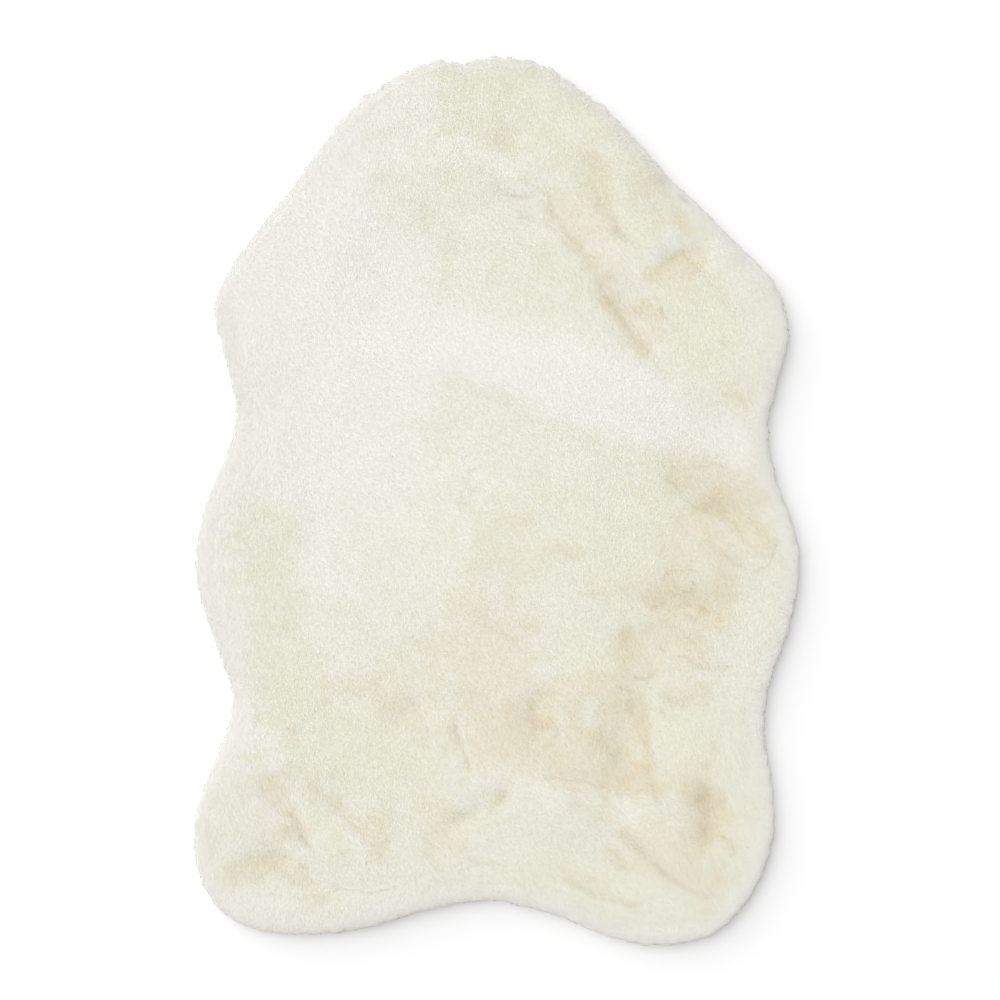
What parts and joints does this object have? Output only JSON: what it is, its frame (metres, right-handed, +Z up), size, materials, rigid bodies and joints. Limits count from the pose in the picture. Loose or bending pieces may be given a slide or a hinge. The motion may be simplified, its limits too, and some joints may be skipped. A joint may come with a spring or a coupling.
{
  "type": "sheepskin rug",
  "caption": "Pelt-shaped sheepskin rug of short dense ivory pile, lying flat, to lay on a floor, bench or chair.",
  "frame": {"origin": "under the middle of the rug's box, on the surface that it lies on", "axes": "+Y along the rug towards its neck end, +X to the right seen from above, +Z up out of the pile"},
  "size_m": [0.6142, 0.9, 0.0297],
  "materials": {
    "pile": "short dense ivory plush pile, matt with a soft sheen, warmer in its hollows",
    "backing": "plain cream backing cloth, matt"
  },
  "bodies": {
    "root": {"sheepskin": "pile"}
  },
  "joints": []
}
